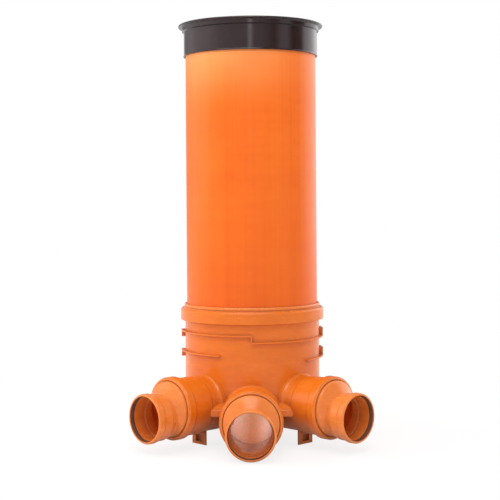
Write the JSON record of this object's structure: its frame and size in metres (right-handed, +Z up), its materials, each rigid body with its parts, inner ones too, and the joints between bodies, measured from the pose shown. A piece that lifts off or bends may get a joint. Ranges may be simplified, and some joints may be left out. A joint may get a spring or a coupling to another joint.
{
  "type": "drain inspection chamber",
  "caption": "Underground drain inspection chamber: moulded channel base with angled inlets, reducers and a spigot outlet, a plain riser pipe and a flanged lid.",
  "frame": {"origin": "on the riser's axis, at ground level, in the middle of the pad under the channel", "axes": "+Z up along the riser, +Y along the channel towards the outlet, -Y towards the main inlet, +X to the right seen from the main inlet"},
  "size_m": [0.7046, 0.76, 1.255],
  "materials": {
    "moulded_plastic": "satin",
    "riser_plastic": "satin",
    "lid_plastic": "gloss",
    "seal_rubber": "matte"
  },
  "bodies": {
    "root": {"base": "moulded_plastic", "riser": "riser_plastic", "lid": "lid_plastic", "riser_seal": "seal_rubber", "collar_ring": "moulded_plastic", "front_inlet_seal": "seal_rubber", "left_inlet_seal": "seal_rubber", "right_inlet_seal": "seal_rubber", "front_keeper_ring": "moulded_plastic", "left_keeper_ring": "moulded_plastic", "right_keeper_ring": "moulded_plastic", "front_reducer": "moulded_plastic", "left_reducer": "moulded_plastic", "right_reducer": "moulded_plastic", "front_reducer_seal": "seal_rubber", "left_reducer_seal": "seal_rubber", "right_reducer_seal": "seal_rubber"}
  },
  "joints": []
}
